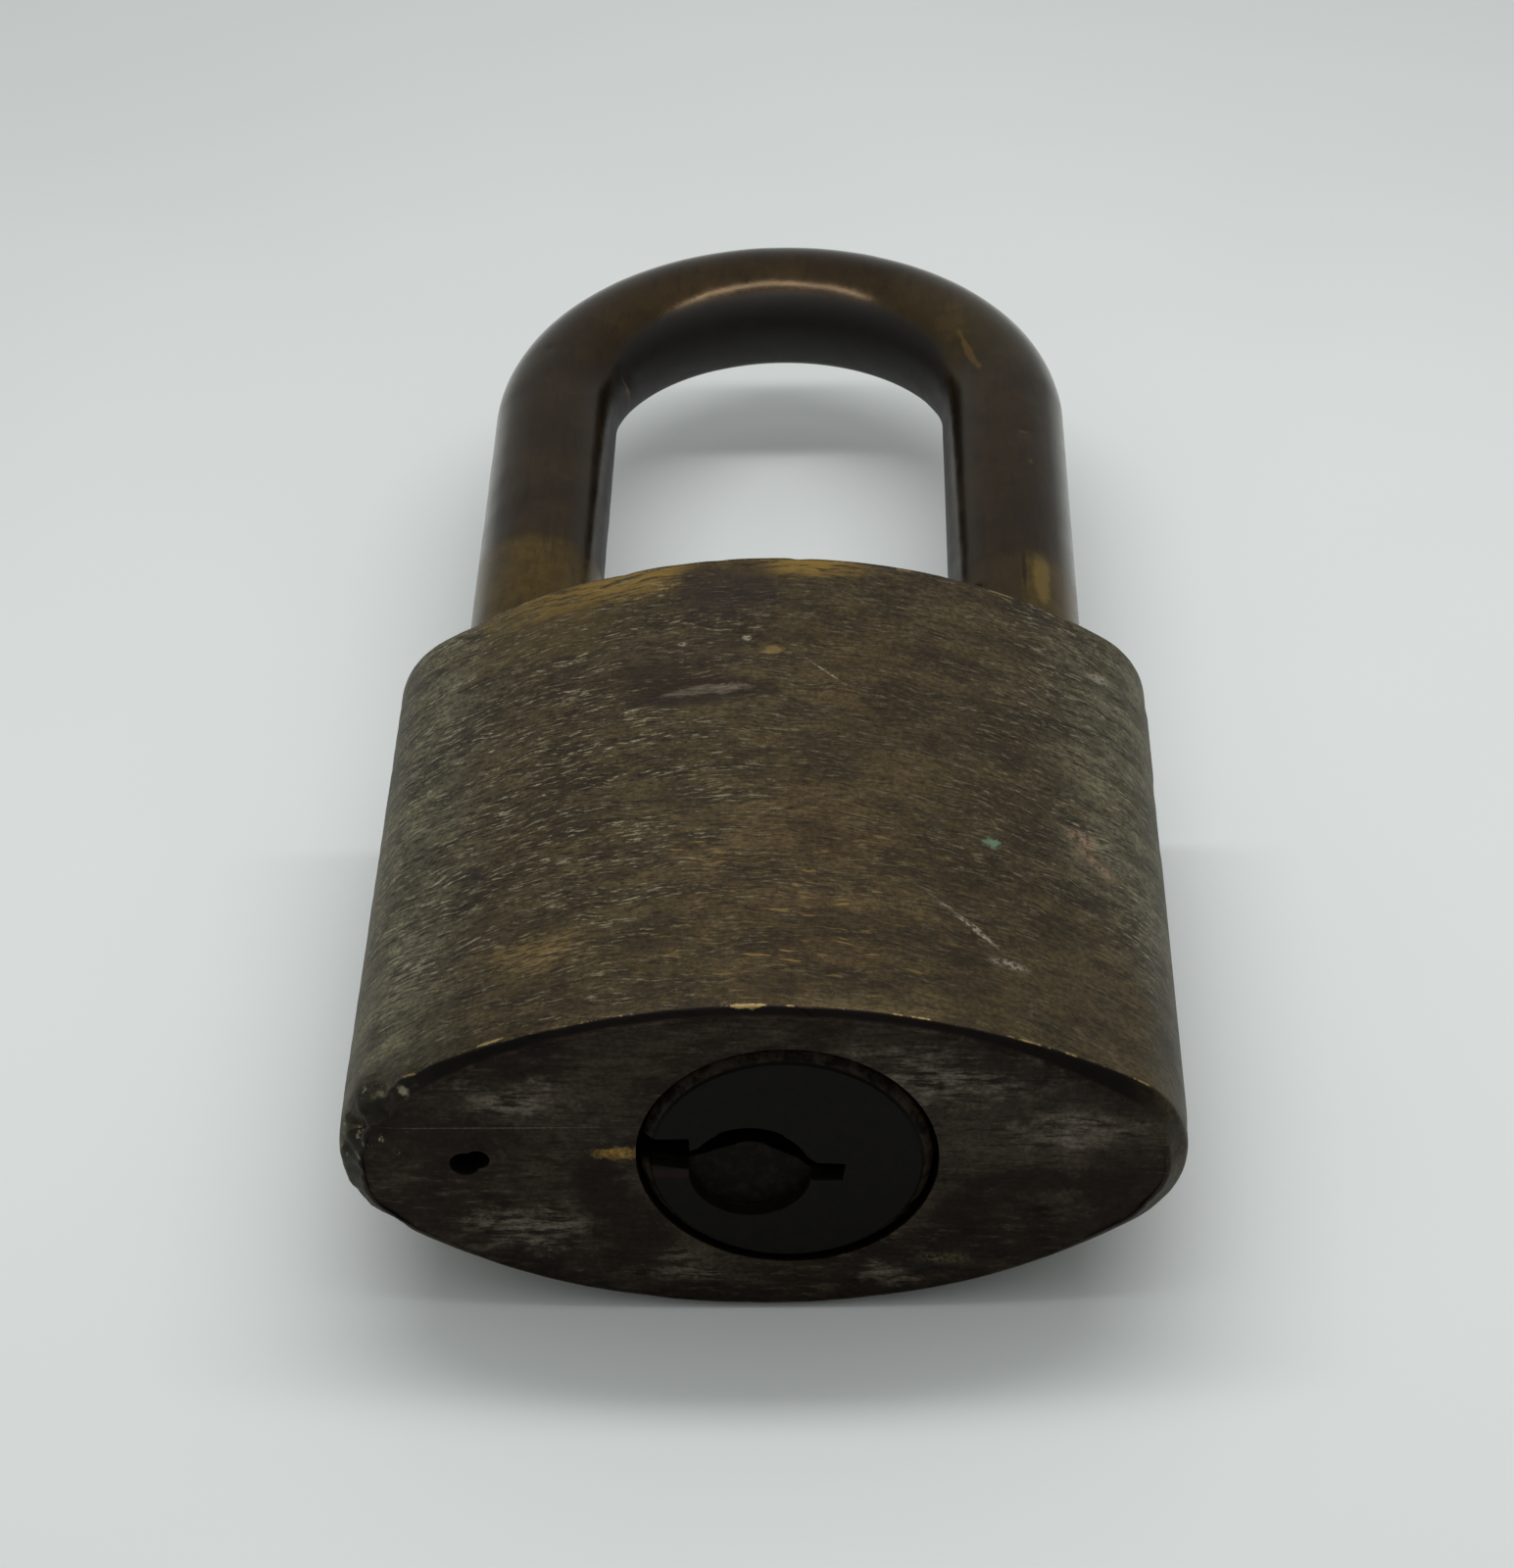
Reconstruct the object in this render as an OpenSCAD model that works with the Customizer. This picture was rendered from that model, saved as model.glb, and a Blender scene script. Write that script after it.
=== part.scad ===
// Solid brass pin tumbler padlock, lying on its back with the shackle popped up.
// X runs across the body, Y from the keyway end to the shackle, Z from the back to the front.
// The origin is on the surface under the lock, below the middle of its whole length and width.
// The pins stand at the shear line and the latch is drawn back, as a key holds them.

/* [Body] */
// Width of the body over its two round edges
body_w = 44.45; // [42:0.05:56]
// Thickness of the body through its middle
body_t = 22.2; // [20.5:0.1:27]
// Length of the body from the keyway end to the shackle end
body_l = 38.1; // [37.5:0.1:48]
// Radius of the round edges of the section
tip_r = 6.3; // [6:0.1:8]
// Bevel around the keyway end face
bevel = 0.8; // [0.3:0.1:1.4]
// Bevel around the shackle end face
top_bevel = 0.3; // [0.1:0.1:1.4]
// Width of the flat that is rubbed on the crest of the back, where the lock lies
rub_flat_w = 5; // [3:0.5:7]

/* [Shackle] */
// Diameter of the shackle rod
rod_d = 7.94; // [6.6:0.01:9.6]
// Distance between the centre lines of the two legs
leg_spacing = 29.4; // [28:0.1:31]
// Height of the crown's centre line above the body when popped up
crown_rise = 43.7; // [32:0.1:80]
// How far the shackle rises from locked to popped up
lift = 10; // [9:0.1:12]
// Width of the latch notch past the latch on each side
notch_margin = 0.3; // [0.2:0.05:0.8]

/* [Plug] */
// Diameter of the plug's barrel
plug_d = 12.7; // [10.6:0.1:15.3]
// How far the plug's head stands out past its barrel
head_lip = 1.27; // [0.8:0.01:1.8]
// Thickness of the plug's head
head_t = 2.2; // [1.8:0.1:3]
// Distance of the plug's axis to the right of the body's middle
plug_x = 1.3; // [0:0.1:2]
// Distance of the plug's axis in front of the body's mid-plane
plug_z = 0.35; // [0:0.05:0.6]
// Radius of the round dish in the plug's face
dish_r = 3.2; // [2.5:0.1:4]

/* [Pins] */
// Diameter of the pins
pin_d = 2.9; // [2.4:0.05:3.3]
// Distance between neighbouring pins
pin_pitch = 3.7; // [3.6:0.05:3.9]
// Distance of the first pin from the keyway end
first_pin_y = 5.5; // [4.8:0.1:6]
// Length of each driver pin
driver_l = 4.5; // [3.5:0.1:5]
// How far each bottom pin drops when there is no key
pin_drops = [2.0, 1.2, 2.4, 0.8, 1.6];

/* [Latch] */
// Diameter of the latch bar
latch_d = 5; // [4.4:0.1:5.6]
// How far the latch slides into the notch
latch_throw = 2.2; // [1.8:0.1:2.4]
// Radius of the stub on the plug that draws the latch
stub_r = 1.2; // [1:0.05:1.3]
// Distance of the stub from the plug's axis
stub_orbit = 2.6; // [2.4:0.05:2.8]

/* [Clearances] */
// Radial clearance of parts that turn or slide in a bore
running_gap = 0.05; // [0.02:0.01:0.08]
// Radial clearance of the shackle's legs in their bores
leg_gap = 0.1; // [0.06:0.01:0.1]
// Radial clearance of caps and pins that are fixed in their holes
fixed_gap = 0.01; // [0.005:0.005:0.02]
// Gap between two parts that meet end to end
end_gap = 0.05; // [0.02:0.01:0.1]
// Gap that keeps moving parts clear of what they pass
pass_gap = 0.3; // [0.2:0.05:0.4]

/* [Hidden] */
$fn = 96;
PIN_COUNT = len(pin_drops);
past = 1; // how far a cut runs past the face that it opens

// Section of the body: two large arcs that run smoothly into two small ones
tip_x = body_w / 2 - tip_r;
face_r = (pow(tip_x, 2) + pow(body_t / 2, 2) - pow(tip_r, 2)) / (body_t - 2 * tip_r);
face_drop = face_r - body_t / 2;
tip_angle = asin(tip_x / (face_r - tip_r));
tip_step = 0.02; // how far the round edges stand back where the broad faces end
rub_depth = face_r - sqrt(pow(face_r, 2) - pow(rub_flat_w / 2, 2));
mid_z = body_t / 2 - rub_depth;

// Shackle, at its popped up place
rod_r = rod_d / 2;
leg_x = leg_spacing / 2;
leg_bore_r = rod_r + leg_gap;
bow_y = body_l + crown_rise - leg_x;
toe_end_y = body_l + 0.4;
toe_bore_y = toe_end_y - lift - 0.5;
toe_bevel = 1.2;
heel_bevel = 0.5;
mouth_bevel = 0.4;

// Heel retaining pin, the groove that it holds and the flat that slides past it
heel_pin_r = 1.25;
heel_pin_y = body_l - 11.7;
heel_groove_r = rod_r - 1.37;
heel_groove_half = heel_pin_r + 0.35;
heel_flat_x = -leg_x + heel_groove_r + 0.05;
heel_flat_end_y = heel_pin_y + heel_groove_half + lift;
heel_end_y = heel_pin_y - heel_groove_half - 3.3;
heel_pin_tip_x = -leg_x + heel_groove_r + 0.22;

// Heel bore, follower and shackle spring
heel_bore_y = 4;
drain_r = 1;
drain_x = -leg_x - 0.5;
drain_z = 0.4;
follower_l = 3;
spigot_r = 2.2;
spigot_l = 1.5;
follower_y = heel_end_y - end_gap - follower_l;
shackle_spring_wire_r = 0.4;
shackle_spring_r = rod_r - shackle_spring_wire_r - 0.55;
shackle_spring_turns = 4.5;

// Plug
plug_r = plug_d / 2;
plug_bore_r = plug_r + running_gap;
head_r = plug_r + head_lip;
head_bevel = 0.6;
head_bore_r = head_r + pass_gap;
head_bore_t = head_t + end_gap;
barrel_end_y = body_l - 10.1;
plug_bore_end_y = barrel_end_y + 0.2;
dish_x = -1.9;
dish_z = -0.8;
dish_depth = 0.8;

// Plug retaining pin and its groove
plug_pin_r = 1;
plug_pin_y = body_l - 14.7;
plug_groove_r = plug_r - 1.4;
plug_groove_half = plug_pin_r + 0.2;
plug_pin_tip_z = plug_z - plug_groove_r - 0.25;

// Keyway, drawn about the plug's axis as it is seen from the keyway end
ward_top_r = 3.3;
ward_low_r = 1.5;
KEYWAY = concat(
    [[-plug_r - 3, 0.2], [-plug_r - 3, 1.7], [-5, 1.7], [-5, 0.8], [-4.2, 1.2]],
    arc_points([dish_x, dish_z], ward_top_r, 118, 58),
    [[0.6, 0.8], [1.6, -0.1], [3.1, -0.2], [2.9, -1.4], [1.4, -1.4], [0.5, -0.5]],
    arc_points([dish_x, dish_z], ward_low_r, 45, 120),
    [[-4.1, -0.1], [-5.2, -0.5]]
);

// Latch, drawn back clear of the toe bore
latch_r = latch_d / 2;
latch_bore_r = latch_r + running_gap;
latch_y = body_l - 5.2;
latch_nose_x = leg_x - leg_bore_r - 0.15;
latch_nose_bevel = 1.4;
latch_slot_left_x = plug_x - stub_orbit - stub_r - 0.2;
latch_slot_right_x = plug_x + stub_r + pass_gap;
latch_slot_y = latch_y - 0.2;
latch_tail_x = latch_slot_left_x - 1.7;
latch_bore_x = -leg_x + leg_bore_r + 0.85;
latch_spring_wire_r = 0.2;
latch_spring_r = latch_r - latch_spring_wire_r - 0.4;
latch_spring_turns = 6;
latch_cap_x = leg_x + leg_bore_r + 0.1;
stub_end_y = latch_slot_y - 0.4;
stub_bore_r = stub_orbit + stub_r + 0.25;
stub_bore_end_y = latch_y - 0.3;

// Notch in the toe leg, which the latch enters when the shackle is down
notch_x = latch_nose_x + latch_throw + pass_gap;
notch_y = latch_y + lift;
notch_half = latch_r + notch_margin;

// Pin stacks, along X on the right of the plug
pin_r = pin_d / 2;
chamber_r = pin_r + running_gap;
pin_floor_x = plug_x + 0.6;
pin_tip_gap = 0.15;
pin_top_x = plug_x + sqrt(pow(plug_r, 2) - pow(pin_r, 2)) - 0.02;
driver_x = plug_x + plug_r + 0.03;
pin_end_bevel = 0.5;
pin_spring_x = driver_x + driver_l;
pin_spring_wire_r = 0.15;
pin_spring_r = pin_r - pin_spring_wire_r - 0.3;
pin_spring_turns = 8;
cap_l = 3.6;
cap_x = body_w / 2 - cap_l;

overall_l = bow_y + leg_x + rod_r;

BODY_COLOR = "#56493a";
SHACKLE_COLOR = "#4b3627";
PLUG_COLOR = "#413d38";
BRASS_COLOR = "#b4933f";
STEEL_COLOR = "#8f9193";

function arc_points(centre, r, from, to, steps = 10) =
    [for (i = [0:steps]) let (a = from + (to - from) * i / steps) centre + r * [cos(a), sin(a)]];

function pin_y(i) = first_pin_y + (i - 1) * pin_pitch;

// Moves the lock's middle over the origin and stands its back on Z = 0
module place() {
    translate([0, -overall_l / 2, mid_z]) children();
}

module x_rod(r, from, to, y = 0, z = 0) {
    translate([from, y, z]) rotate([0, 90, 0]) cylinder(h = to - from, r = r);
}

module y_rod(r, from, to, x = 0, z = 0) {
    translate([x, from, z]) rotate([-90, 0, 0]) cylinder(h = to - from, r = r);
}

module y_cone(r_from, r_to, from, to, x = 0, z = 0) {
    translate([x, from, z]) rotate([-90, 0, 0]) cylinder(h = to - from, r1 = r_from, r2 = r_to);
}

// A round length of the body, with its bevel at each end
module bevelled_bar(r, x, z) {
    section = [[0, 0], [r - bevel, 0], [r, bevel],
               [r, body_l - top_bevel], [r - top_bevel, body_l], [0, body_l]];
    translate([x, 0, z]) rotate([-90, 0, 0]) rotate_extrude() polygon(section);
}

// A slab as long as the body, past both of its ends, over an outline in X and Z
module slab(outline) {
    translate([0, body_l + past, 0]) rotate([90, 0, 0])
        linear_extrude(body_l + 2 * past) polygon(outline);
}

// One broad face, cut from a large round bar between the two radii that end at the tips
module face_half() {
    edge = [tip_x + body_t * sin(tip_angle), body_t * cos(tip_angle)];
    intersection() {
        bevelled_bar(face_r, 0, -face_drop);
        slab([[-tip_x, 0], [tip_x, 0], edge, [-edge[0], edge[1]]]);
    }
}

module body_blank() {
    difference() {
        union() {
            face_half();
            mirror([0, 0, 1]) face_half();
            bevelled_bar(tip_r - tip_step, -tip_x - tip_step, 0);
            bevelled_bar(tip_r - tip_step, tip_x + tip_step, 0);
        }
        translate([-body_w / 2, -past, -body_t - mid_z])
            cube([body_w, body_l + 2 * past, body_t]);
    }
}

module leg_bore(x, bottom_y) {
    y_rod(leg_bore_r, bottom_y, body_l + past, x);
    y_cone(leg_bore_r, leg_bore_r + mouth_bevel + past, body_l - mouth_bevel, body_l + past, x);
}

module body() {
    color(BODY_COLOR) place() difference() {
        body_blank();
        leg_bore(-leg_x, heel_bore_y);
        leg_bore(leg_x, toe_bore_y);
        y_rod(drain_r, -past, heel_bore_y + past, drain_x, drain_z);
        y_rod(head_bore_r, -past, head_bore_t, plug_x, plug_z);
        y_rod(plug_bore_r, 0, plug_bore_end_y, plug_x, plug_z);
        y_rod(stub_bore_r, barrel_end_y, stub_bore_end_y, plug_x, plug_z);
        x_rod(latch_bore_r, latch_bore_x, body_w, latch_y);
        x_rod(heel_pin_r + fixed_gap, -leg_x, plug_x, heel_pin_y);
        translate([plug_x, plug_pin_y, -body_t]) cylinder(h = body_t + plug_z, r = plug_pin_r + fixed_gap);
        for (i = [1:PIN_COUNT])
            x_rod(chamber_r, plug_x, body_w, pin_y(i), plug_z);
    }
}

module shackle_rod() {
    y_rod(rod_r, heel_end_y + heel_bevel, bow_y, -leg_x);
    y_cone(rod_r - heel_bevel, rod_r, heel_end_y, heel_end_y + heel_bevel, -leg_x);
    y_rod(rod_r, toe_end_y + toe_bevel, bow_y, leg_x);
    y_cone(rod_r - toe_bevel, rod_r, toe_end_y, toe_end_y + toe_bevel, leg_x);
    translate([0, bow_y, 0]) rotate_extrude(angle = 180) translate([leg_x, 0]) circle(rod_r);
}

module heel_groove() {
    difference() {
        y_rod(rod_r + past, heel_pin_y - heel_groove_half, heel_pin_y + heel_groove_half, -leg_x);
        y_rod(heel_groove_r, heel_pin_y - heel_groove_half - past,
              heel_pin_y + heel_groove_half + past, -leg_x);
    }
}

module shackle() {
    flat_start_y = heel_pin_y - heel_groove_half;
    color(SHACKLE_COLOR) place() difference() {
        shackle_rod();
        heel_groove();
        translate([heel_flat_x, flat_start_y, -rod_r - past])
            cube([rod_r, heel_flat_end_y - flat_start_y, 2 * (rod_r + past)]);
        translate([leg_x - rod_r - past, notch_y - notch_half, -rod_r - past])
            cube([notch_x - leg_x + rod_r + past, 2 * notch_half, 2 * (rod_r + past)]);
    }
}

module spring_follower() {
    color(STEEL_COLOR) place() {
        y_rod(rod_r, follower_y, follower_y + follower_l, -leg_x);
        y_rod(spigot_r, follower_y - spigot_l, follower_y + end_gap, -leg_x);
    }
}

module plug_blank() {
    y_cone(head_r - head_bevel, head_r, 0, head_bevel);
    y_rod(head_r, head_bevel, head_t);
    y_rod(plug_r, head_t, barrel_end_y);
    y_rod(stub_r, barrel_end_y, stub_end_y, 0, -stub_orbit);
}

module plug() {
    color(PLUG_COLOR) place() translate([plug_x, 0, plug_z]) difference() {
        plug_blank();
        translate([0, barrel_end_y + past / 4, 0]) rotate([90, 0, 0])
            linear_extrude(barrel_end_y + past) polygon(KEYWAY);
        y_rod(dish_r, -past, dish_depth, dish_x, dish_z);
        difference() {
            y_rod(plug_r + past, plug_pin_y - plug_groove_half, plug_pin_y + plug_groove_half);
            y_rod(plug_groove_r, plug_pin_y - plug_groove_half - past, plug_pin_y + plug_groove_half + past);
        }
        for (i = [1:PIN_COUNT])
            x_rod(chamber_r, pin_floor_x - plug_x, plug_r + past, pin_y(i));
    }
}

// The back end of the pin is ground flush with the body's back
module plug_retaining_pin() {
    color(BRASS_COLOR) place() intersection() {
        body_blank();
        translate([plug_x, plug_pin_y, -body_t]) cylinder(h = body_t + plug_pin_tip_z, r = plug_pin_r);
    }
}

// Slid in through the plug's bore, and kept in by the plug
module heel_retaining_pin() {
    color(STEEL_COLOR) place()
        x_rod(heel_pin_r, heel_pin_tip_x, plug_x - plug_bore_r - end_gap, heel_pin_y);
}

module latch() {
    nose_cut = latch_nose_bevel + past;
    color(BRASS_COLOR) place() difference() {
        x_rod(latch_r, latch_tail_x, latch_nose_x, latch_y);
        translate([latch_slot_left_x, latch_y - latch_r - past, -latch_r - past])
            cube([latch_slot_right_x - latch_slot_left_x, latch_slot_y - latch_y + latch_r + past,
                  2 * (latch_r + past)]);
        translate([latch_nose_x - latch_nose_bevel, latch_y + latch_r, -latch_r - past])
            rotate([0, 0, -45]) cube([2 * nose_cut, nose_cut, 2 * (latch_r + past)]);
    }
}

module latch_bore_cap() {
    color(BODY_COLOR) place() intersection() {
        body_blank();
        x_rod(latch_bore_r - fixed_gap, latch_cap_x, body_w, latch_y);
    }
}

// A bottom pin has a pointed tip on the side of the key, and its flat end at the shear line
module bottom_pin(i) {
    tip_x = pin_floor_x + pin_tip_gap + pin_drops[i - 1];
    cone_l = 1.2;
    color(BRASS_COLOR) place() {
        x_rod(pin_r, tip_x + cone_l, pin_top_x, pin_y(i), plug_z);
        translate([tip_x, pin_y(i), plug_z]) rotate([0, 90, 0])
            cylinder(h = cone_l, r1 = pin_r / 3, r2 = pin_r);
    }
}

module driver_pin(i) {
    color(STEEL_COLOR) place() {
        x_rod(pin_r, driver_x, driver_x + driver_l - pin_end_bevel, pin_y(i), plug_z);
        translate([driver_x + driver_l - pin_end_bevel, pin_y(i), plug_z]) rotate([0, 90, 0])
            cylinder(h = pin_end_bevel, r1 = pin_r, r2 = pin_r - pin_end_bevel);
    }
}

module chamber_cap(i) {
    color(BODY_COLOR) place() intersection() {
        body_blank();
        x_rod(chamber_r - fixed_gap, cap_x, body_w, pin_y(i), plug_z);
    }
}

// A wire coil along Z, from Z = 0 to its length
module coil(r, wire_r, length, turns) {
    steps = 14;
    sides = 6;
    rings = round(turns * steps);
    rise = (length - 2 * wire_r) / rings;
    points = [for (i = [0:rings], j = [0:sides - 1])
        let (a = 360 * i / steps, b = 360 * j / sides, d = r + wire_r * cos(b))
        [d * cos(a), d * sin(a), wire_r + rise * i + wire_r * sin(b)]];
    walls = [for (i = [0:rings - 1], j = [0:sides - 1])
        let (k = (j + 1) % sides)
        [i * sides + j, i * sides + k, (i + 1) * sides + k, (i + 1) * sides + j]];
    start = [for (j = [0:sides - 1]) sides - 1 - j];
    end = [for (j = [0:sides - 1]) rings * sides + j];
    polyhedron(points = points, faces = concat([start, end], walls), convexity = 10);
}

module shackle_spring() {
    length = follower_y - heel_bore_y - 2 * end_gap;
    color(STEEL_COLOR) place() translate([-leg_x, heel_bore_y + end_gap, 0]) rotate([-90, 0, 0])
        coil(shackle_spring_r, shackle_spring_wire_r, length, shackle_spring_turns);
}

module latch_spring() {
    length = latch_tail_x - latch_bore_x - 2 * end_gap;
    color(STEEL_COLOR) place() translate([latch_bore_x + end_gap, latch_y, 0]) rotate([0, 90, 0])
        coil(latch_spring_r, latch_spring_wire_r, length, latch_spring_turns);
}

module pin_spring(i) {
    length = cap_x - pin_spring_x - 2 * end_gap;
    color(STEEL_COLOR) place() translate([pin_spring_x + end_gap, pin_y(i), plug_z]) rotate([0, 90, 0])
        coil(pin_spring_r, pin_spring_wire_r, length, pin_spring_turns);
}

body();
shackle();
plug();
spring_follower();
shackle_spring();
heel_retaining_pin();
plug_retaining_pin();
latch();
latch_spring();
latch_bore_cap();
for (i = [1:PIN_COUNT]) {
    bottom_pin(i);
    driver_pin(i);
    pin_spring(i);
    chamber_cap(i);
}
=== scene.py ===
import math

import bmesh
import bpy
import numpy as np
from mathutils import Matrix, Vector


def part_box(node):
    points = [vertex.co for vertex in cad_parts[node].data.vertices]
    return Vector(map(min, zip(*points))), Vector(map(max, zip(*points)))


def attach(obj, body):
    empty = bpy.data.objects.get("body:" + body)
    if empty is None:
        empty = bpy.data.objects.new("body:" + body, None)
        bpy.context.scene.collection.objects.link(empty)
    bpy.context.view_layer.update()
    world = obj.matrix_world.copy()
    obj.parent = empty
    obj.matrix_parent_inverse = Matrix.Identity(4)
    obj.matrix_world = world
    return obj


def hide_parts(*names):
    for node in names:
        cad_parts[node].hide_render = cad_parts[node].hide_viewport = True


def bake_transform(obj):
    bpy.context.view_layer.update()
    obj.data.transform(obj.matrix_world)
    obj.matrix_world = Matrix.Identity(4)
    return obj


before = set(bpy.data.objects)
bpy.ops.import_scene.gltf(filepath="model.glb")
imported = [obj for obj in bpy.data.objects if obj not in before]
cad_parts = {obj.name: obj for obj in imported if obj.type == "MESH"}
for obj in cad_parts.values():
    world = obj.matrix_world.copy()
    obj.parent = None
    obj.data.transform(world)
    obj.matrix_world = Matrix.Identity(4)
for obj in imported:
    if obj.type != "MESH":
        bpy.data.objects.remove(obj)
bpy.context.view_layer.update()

# ---- Body: blank -----------------------------------------------------------------------------
# One solid of drawn brass, its section two broad curved faces that run into two round edges.
# It was sawn to length, bevelled round both ends, and brushed across before it tarnished.

MM = 0.001
body_low, body_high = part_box("body")
FACE_Y = body_low.y                                  # keyway end, where lengths are measured from
BODY_L = (body_high.y - body_low.y) / MM
BODY_W = (body_high.x - body_low.x) / MM
HALF_T = 11.1
MID_Z = body_high.z - HALF_T * MM
TIP_R = 6.3                                          # of the two narrow edges
TIP_X = BODY_W / 2 - TIP_R
FACE_R = (TIP_X ** 2 + HALF_T ** 2 - TIP_R ** 2) / (2 * (HALF_T - TIP_R))
PLUG_X, PLUG_Z = 1.3, 0.35
LEG_X = 14.7
ROD_R = 3.97
LATCH_Y = BODY_L - 5.2
PIN_PLACES = [5.5 + 3.7 * i for i in range(5)]
rng = np.random.default_rng(1871)


def in_metres(points):
    """Points in mm, from the keyway end and the middle plane, as metres in the frame."""
    return np.asarray(points, float) * MM + np.array([0, FACE_Y, MID_Z])


def new_piece(name, points, faces, body):
    mesh = bpy.data.meshes.new(name)
    mesh.from_pydata(in_metres(points).tolist(), [], faces)
    mesh.validate()
    mesh.update()
    piece = bpy.data.objects.new(name, mesh)
    bpy.context.scene.collection.objects.link(piece)
    if body:
        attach(piece, body)
    return piece


def smooth(piece, degrees):
    piece.data.shade_smooth()
    piece.data.set_sharp_from_angle(angle=math.radians(degrees))


def body_outline(count):
    """Points and outward directions round the body's section, from the right tip over the front."""
    tip_turn = math.acos(TIP_X / (FACE_R - TIP_R))
    tip_l, face_l = TIP_R * tip_turn, FACE_R * (math.pi / 2 - tip_turn)
    points, outward = [], []
    for s in np.linspace(0, 2 * (tip_l + face_l), count, endpoint=False):
        far = min(s, 2 * (tip_l + face_l) - s)
        if far < tip_l:
            a = far / TIP_R
            p = (TIP_X + TIP_R * math.cos(a), TIP_R * math.sin(a))
        else:
            a = tip_turn + (far - tip_l) / FACE_R
            p = (FACE_R * math.cos(a), FACE_R * math.sin(a) - (FACE_R - HALF_T))
        left = s > tip_l + face_l
        points.append((-p[0] if left else p[0], p[1]))
        outward.append((-math.cos(a) if left else math.cos(a), math.sin(a)))
    points, outward = np.array(points), np.array(outward)
    back = points[1:][::-1] * [1, -1]                # the back mirrors the front
    ends = np.array([[-BODY_W / 2, 0]])
    points = np.vstack([points, ends, back])
    outward = np.vstack([outward, [[-1, 0]], outward[1:][::-1] * [1, -1]])
    return points, outward


WAVES = 7


def lumps(points, size, seed):
    """A slow swell over the surface, between 0 and 1, with waves about size mm long."""
    draw = np.random.default_rng(seed)
    total = np.zeros(len(points))
    for _ in range(WAVES):
        way = draw.normal(size=3)
        way *= 2 * math.pi / size / np.linalg.norm(way) * draw.uniform(0.7, 1.4)
        total += np.cos(points @ way + draw.uniform(0, 2 * math.pi))
    return 0.5 + np.clip(total / WAVES, -0.5, 0.5)


# Worn bevels: how far a row stands in from the full section, and how far it is from the end
KEY_EDGE = [(0.98, 0.0), (0.88, 0.012), (0.80, 0.05), (0.72, 0.115), (0.58, 0.24), (0.42, 0.39),
            (0.26, 0.54), (0.13, 0.66), (0.055, 0.75), (0.018, 0.86), (0.0, 1.0)]
TOP_EDGE = [(0.4 * inset, 0.4 * y) for inset, y in KEY_EDGE]
CREST_SHARE, TIP_SHARE = 0.65, 1.3                   # the bevels widen from the crest to the tips
SHARE_FROM, SHARE_TO = 10.0, 24.0
HALF_COUNT, MIDDLE_ROWS = 208, 112
outline, outward = body_outline(HALF_COUNT)
around = len(outline)
run = np.clip((np.abs(outline[:, 0]) - SHARE_FROM) / (SHARE_TO - SHARE_FROM), 0, 1)
share_here = CREST_SHARE + (TIP_SHARE - CREST_SHARE) * run * run * (3 - 2 * run)
key_edge_end, top_edge_end = TIP_SHARE * KEY_EDGE[-1][1], BODY_L - TIP_SHARE * TOP_EDGE[-1][1]
middle_rows = np.linspace(key_edge_end, top_edge_end, MIDDLE_ROWS)[1:-1]
rows = (KEY_EDGE + [(0.0, y) for y in middle_rows]
        + [(inset, BODY_L - y) for inset, y in reversed(TOP_EDGE)])
CAP_RINGS = [0.0, 0.06, 0.12, 0.2, 0.28, 0.36, 0.44, 0.52, 0.6, 0.68, 0.75, 0.81, 0.86, 0.9, 0.93,
             0.955, 0.975, 0.99]
SPINE_SHARE = 0.74                                   # the end faces close on a line this share of the width


def cap_ring(share, y, inset):
    inner = outline - outward * (inset * share_here)[:, None]
    spine = np.column_stack([inner[:, 0] * SPINE_SHARE, np.zeros(around)])
    ring = spine + (inner - spine) * share
    return np.column_stack([ring[:, 0], np.full(around, y), ring[:, 1]])


rings = [cap_ring(share, 0.0, KEY_EDGE[0][0]) for share in CAP_RINGS]
for inset, y in rows:
    ring = outline - outward * (inset * share_here)[:, None]
    near = y if y < BODY_L / 2 else y - BODY_L
    along = y + (near * (share_here - 1) if abs(near) <= KEY_EDGE[-1][1] else np.zeros(around))
    rings.append(np.column_stack([ring[:, 0], along, ring[:, 1]]))
rings += [cap_ring(share, BODY_L, TOP_EDGE[0][0]) for share in reversed(CAP_RINGS)]
blank = np.vstack(rings)
push = np.tile(np.column_stack([outward[:, 0], np.zeros(around), outward[:, 1]]), (len(rings), 1))
cap_count = len(CAP_RINGS) * around
push[:cap_count] = (0, -1, 0)
push[-cap_count:] = (0, 1, 0)


def front_z(x):
    return math.sqrt(FACE_R ** 2 - x ** 2) - (FACE_R - HALF_T)


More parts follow.
